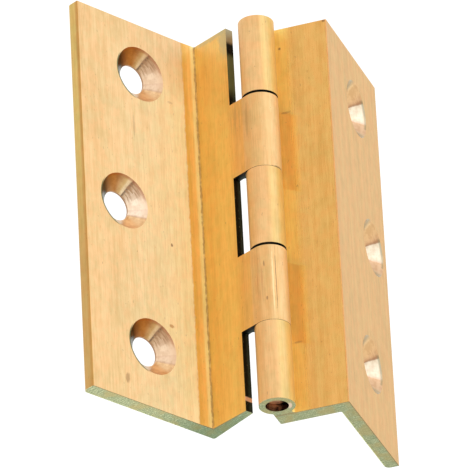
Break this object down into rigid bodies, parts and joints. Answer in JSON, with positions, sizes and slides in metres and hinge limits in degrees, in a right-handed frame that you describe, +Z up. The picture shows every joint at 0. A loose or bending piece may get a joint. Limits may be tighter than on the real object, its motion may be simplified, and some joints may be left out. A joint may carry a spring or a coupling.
{
  "type": "cranked mortise hinge",
  "caption": "Cranked butt hinge in drawn brass: two nesting L-shaped leaves with interleaved knuckles on one fixed pin and staggered countersunk screw holes.",
  "frame": {"origin": "under the middle of the opened hinge's bounding box, on the plane of the leaves' lower ends", "axes": "+Z up along the pin axis; -X is the outward normal of the outer leaf's mounting face; +Y completes the right-handed frame"},
  "size_m": [0.0204, 0.0524, 0.0635],
  "materials": {
    "drawn_brass": "satin, with a fine drawn grain along the hinge's height and rough sawn ends",
    "dark_pin": "dull, darkened in the bore"
  },
  "bodies": {
    "outer": {"outer_leaf": "drawn_brass"},
    "inner": {"inner_leaf": "drawn_brass", "hinge_pin": "dark_pin"}
  },
  "joints": [
    {"name": "leaf_swing", "type": "hinge", "parent": "outer", "child": "inner", "pos_m": [0.00296, -0.0008, 0.03175], "axis": [0, 0, 1], "range_deg": [-208.4, 55]}
  ]
}
